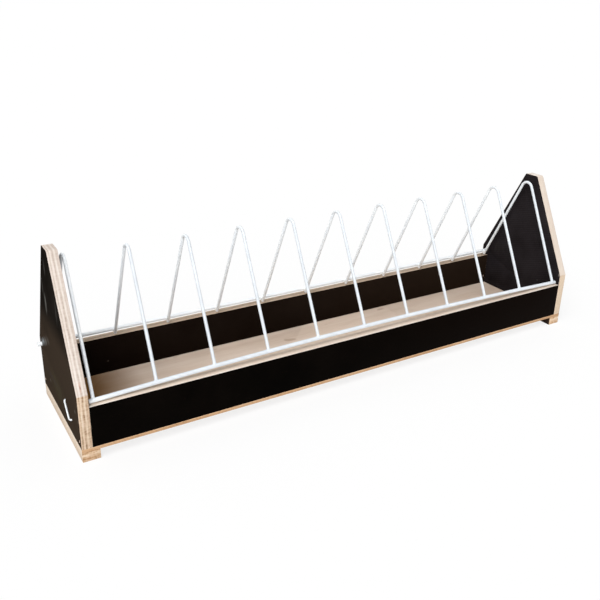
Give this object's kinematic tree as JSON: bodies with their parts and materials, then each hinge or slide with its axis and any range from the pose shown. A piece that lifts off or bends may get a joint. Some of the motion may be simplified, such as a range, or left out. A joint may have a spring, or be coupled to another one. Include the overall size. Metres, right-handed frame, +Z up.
{
  "type": "low animal feed trough with a hinged wire grille",
  "caption": "Low wooden feed trough with sloping gable ends and a hinged grille of bent white wires that keeps animals out of the feed.",
  "frame": {"origin": "middle of the footprint, on the surface that the foot strips stand on", "axes": "+X along the trough to the right end as seen from the front, +Y to the back where the grille is hinged, +Z up"},
  "size_m": [0.76, 0.165, 0.221],
  "materials": {
    "film_faced_ply": "dark brown phenolic film on birch plywood, satin, with bare layered edges",
    "birch_ply": "bare birch plywood",
    "white_wire": "white powder coat, satin",
    "steel_nail": "bright steel"
  },
  "bodies": {
    "trough": {"base_panel": "birch_ply", "left_foot_strip": "birch_ply", "right_foot_strip": "birch_ply", "left_end_panel": "film_faced_ply", "right_end_panel": "film_faced_ply", "front_board": "film_faced_ply", "back_board": "film_faced_ply", "left_panel_nails": "steel_nail", "right_panel_nails": "steel_nail", "front_base_nails": "steel_nail", "back_base_nails": "steel_nail", "left_foot_nails": "steel_nail", "right_foot_nails": "steel_nail", "side_clip": "white_wire"},
    "grille": {"hinge_rod": "white_wire", "front_rod": "white_wire", "grille_wire_1": "white_wire", "grille_wire_2": "white_wire", "grille_wire_3": "white_wire", "grille_wire_4": "white_wire", "grille_wire_5": "white_wire", "grille_wire_6": "white_wire", "grille_wire_7": "white_wire", "grille_wire_8": "white_wire", "grille_wire_9": "white_wire", "grille_wire_10": "white_wire", "grille_wire_11": "white_wire"}
  },
  "joints": [
    {"name": "grille_hinge", "type": "hinge", "parent": "trough", "child": "grille", "pos_m": [0, 0.0745, 0.074], "axis": [-1, 0, 0], "range_deg": [0, 145]}
  ]
}
